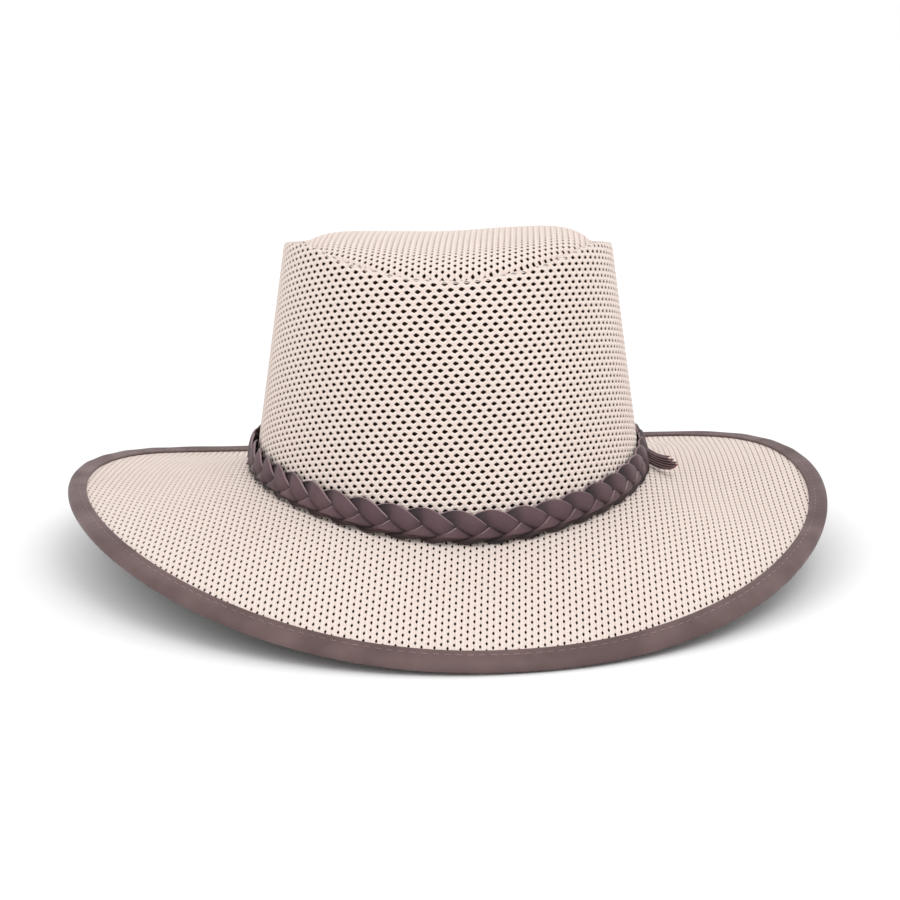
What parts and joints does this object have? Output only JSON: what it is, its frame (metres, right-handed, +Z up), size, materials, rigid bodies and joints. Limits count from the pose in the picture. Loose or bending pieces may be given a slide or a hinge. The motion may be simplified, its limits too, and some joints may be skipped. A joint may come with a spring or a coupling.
{
  "type": "wide-brimmed mesh sun hat",
  "caption": "Wide-brimmed sun hat of pierced knit mesh, with a domed crown, a saddle-shaped bound brim and a braided band with loose lace ends.",
  "frame": {"origin": "middle of the bounding box, on the surface that the hat's brim rests on", "axes": "+Z up out of the crown, -Y to the front of the hat, +X to the wearer's left"},
  "size_m": [0.343, 0.365, 0.1475],
  "materials": {
    "crown_mesh": "matte knit mesh, pinkish cream face over a dark back",
    "brim_mesh": "matte knit mesh, pinkish cream face over a dark back",
    "binding": "satin smooth leather look, with one row of stitches",
    "braid": "satin smooth leather look",
    "lace_ends": "satin, with raw reddish cut ends"
  },
  "bodies": {
    "root": {"crown_side": "crown_mesh", "crown_tip": "crown_mesh", "brim": "brim_mesh", "brim_binding": "binding", "hat_band": "braid", "band_tail": "lace_ends"}
  },
  "joints": []
}
